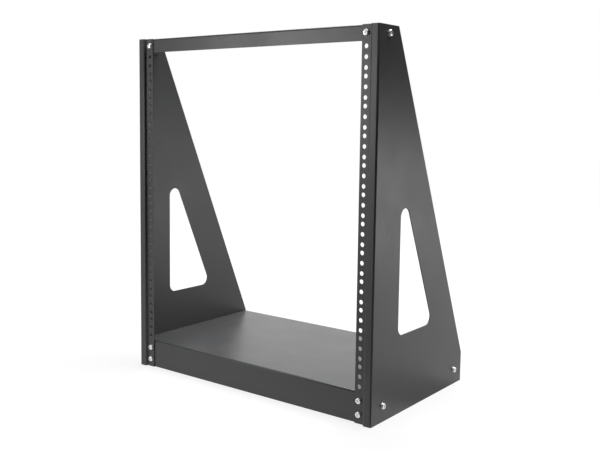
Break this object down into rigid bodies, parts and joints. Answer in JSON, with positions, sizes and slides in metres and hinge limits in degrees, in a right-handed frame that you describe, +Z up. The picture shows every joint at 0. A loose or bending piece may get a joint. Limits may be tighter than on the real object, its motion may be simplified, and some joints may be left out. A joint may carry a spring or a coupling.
{
  "type": "two-post open frame rack",
  "caption": "Desktop two-post open frame rack: folded steel side panels with rack holes, a crossbar on top and a base tray.",
  "frame": {"origin": "middle of the footprint, on the surface that the rack stands on", "axes": "+Z up the posts, -Y out of the front where equipment is fixed, +X to the right seen from the front"},
  "size_m": [0.5222, 0.307, 0.612],
  "materials": {
    "powder_coat": "semi-matt black powder coat",
    "zinc_plate": "bright zinc plate"
  },
  "bodies": {
    "root": {"base_tray": "powder_coat", "crossbar": "powder_coat", "left_crossbar_front_nut": "zinc_plate", "left_crossbar_front_screw": "zinc_plate", "left_crossbar_side_nut": "zinc_plate", "left_crossbar_side_screw": "zinc_plate", "left_side_panel": "powder_coat", "left_tray_front_side_nut": "zinc_plate", "left_tray_front_side_screw": "zinc_plate", "left_tray_lower_front_nut": "zinc_plate", "left_tray_lower_front_screw": "zinc_plate", "left_tray_rear_side_nut": "zinc_plate", "left_tray_rear_side_screw": "zinc_plate", "left_tray_upper_front_nut": "zinc_plate", "left_tray_upper_front_screw": "zinc_plate", "right_crossbar_front_nut": "zinc_plate", "right_crossbar_front_screw": "zinc_plate", "right_crossbar_side_nut": "zinc_plate", "right_crossbar_side_screw": "zinc_plate", "right_side_panel": "powder_coat", "right_tray_front_side_nut": "zinc_plate", "right_tray_front_side_screw": "zinc_plate", "right_tray_lower_front_nut": "zinc_plate", "right_tray_lower_front_screw": "zinc_plate", "right_tray_rear_side_nut": "zinc_plate", "right_tray_rear_side_screw": "zinc_plate", "right_tray_upper_front_nut": "zinc_plate", "right_tray_upper_front_screw": "zinc_plate"}
  },
  "joints": []
}
